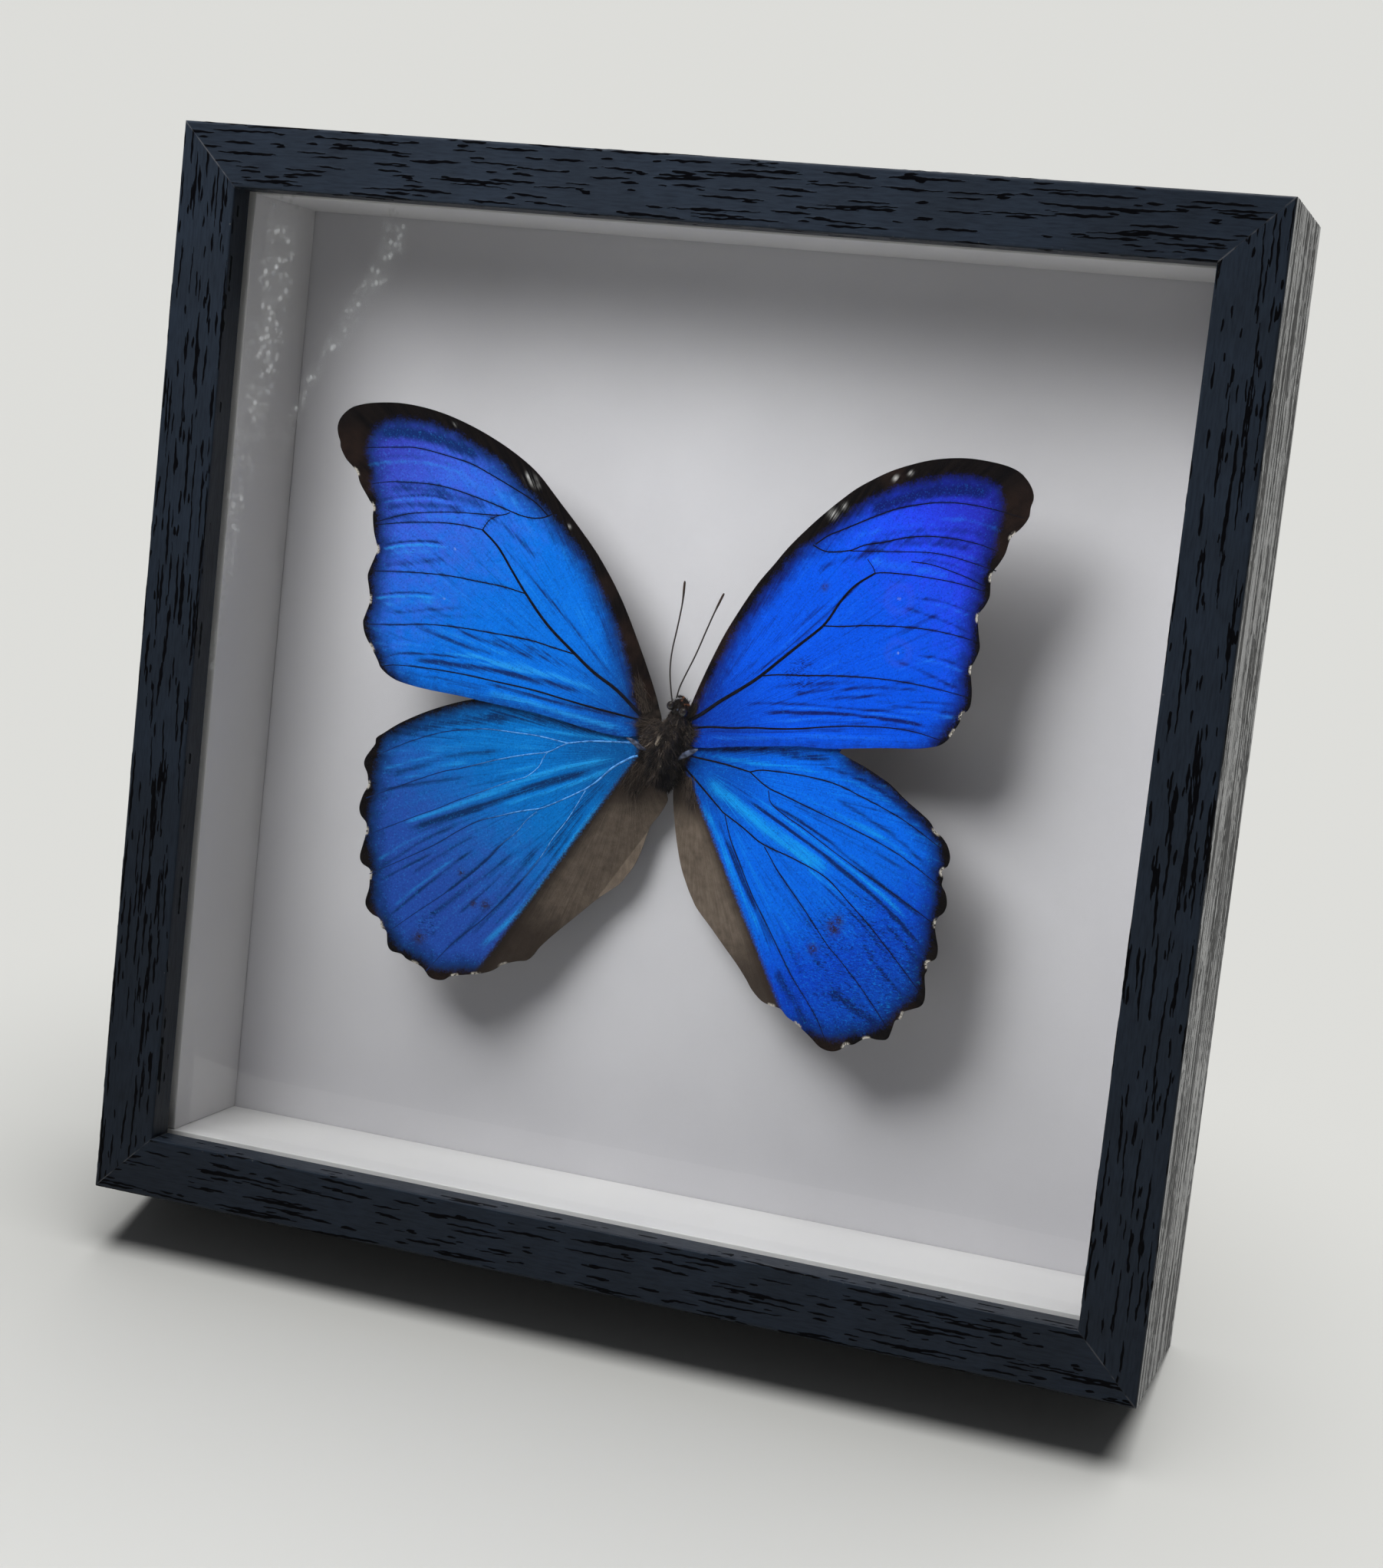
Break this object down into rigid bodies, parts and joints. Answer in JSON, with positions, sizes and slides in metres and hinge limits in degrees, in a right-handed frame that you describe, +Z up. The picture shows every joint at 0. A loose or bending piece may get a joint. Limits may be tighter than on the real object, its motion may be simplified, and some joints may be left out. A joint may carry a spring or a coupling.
{
  "type": "framed butterfly specimen",
  "caption": "Spread blue butterfly floating before a pale card in a square black shadow box with a glass front, leaning back on a hinged easel strut.",
  "frame": {"origin": "centre of the bounding box at the surface that it stands on", "axes": "+Z up; the glass front faces -Y and leans back towards +Y; +X to the viewer's right"},
  "size_m": [0.225, 0.1305, 0.2275],
  "materials": {
    "rail_foil": "black wood-grain foil, satin",
    "pane": "clear polished",
    "spacer": "white foam board, matt",
    "card": "pale grey-white card, matt",
    "backing": "dark fibreboard",
    "fitting": "zinc-plated",
    "hinge_metal": "zinc-plated sheet",
    "strut_board": "black fibreboard",
    "body_fur": "dense dark hair",
    "antenna": "dark, slightly glossy",
    "wing": "iridescent blue scales, dark margins",
    "post": "clear"
  },
  "bodies": {
    "frame": {"rail_bottom": "rail_foil", "rail_left": "rail_foil", "rail_top": "rail_foil", "rail_right": "rail_foil", "glass": "pane", "spacer_bottom": "spacer", "spacer_left": "spacer", "spacer_top": "spacer", "spacer_right": "spacer", "mount_card": "card", "backing_board": "backing", "turn_button_bottom": "fitting", "turn_button_left": "fitting", "turn_button_top": "fitting", "turn_button_right": "fitting", "turn_button_screw_bottom": "fitting", "turn_button_screw_left": "fitting", "turn_button_screw_top": "fitting", "turn_button_screw_right": "fitting", "hinge_plate": "hinge_metal", "hinge_pin": "hinge_metal", "plate_rivet_1": "hinge_metal", "plate_rivet_2": "hinge_metal", "plate_rivet_3": "hinge_metal", "plate_rivet_4": "hinge_metal", "thorax": "body_fur", "head": "body_fur", "antenna_left": "antenna", "antenna_right": "antenna", "forewing_left": "wing", "forewing_right": "wing", "hindwing_left": "wing", "hindwing_right": "wing", "specimen_post": "post"},
    "strut": {"strut": "strut_board", "strut_leaf": "hinge_metal", "leaf_rivet_1": "hinge_metal", "leaf_rivet_2": "hinge_metal", "leaf_rivet_3": "hinge_metal"}
  },
  "joints": [
    {"name": "strut_hinge", "type": "hinge", "parent": "frame", "child": "strut", "pos_m": [0, 0.01973, 0.12265], "axis": [1, 0, 0], "range_deg": [-38, 0]}
  ]
}
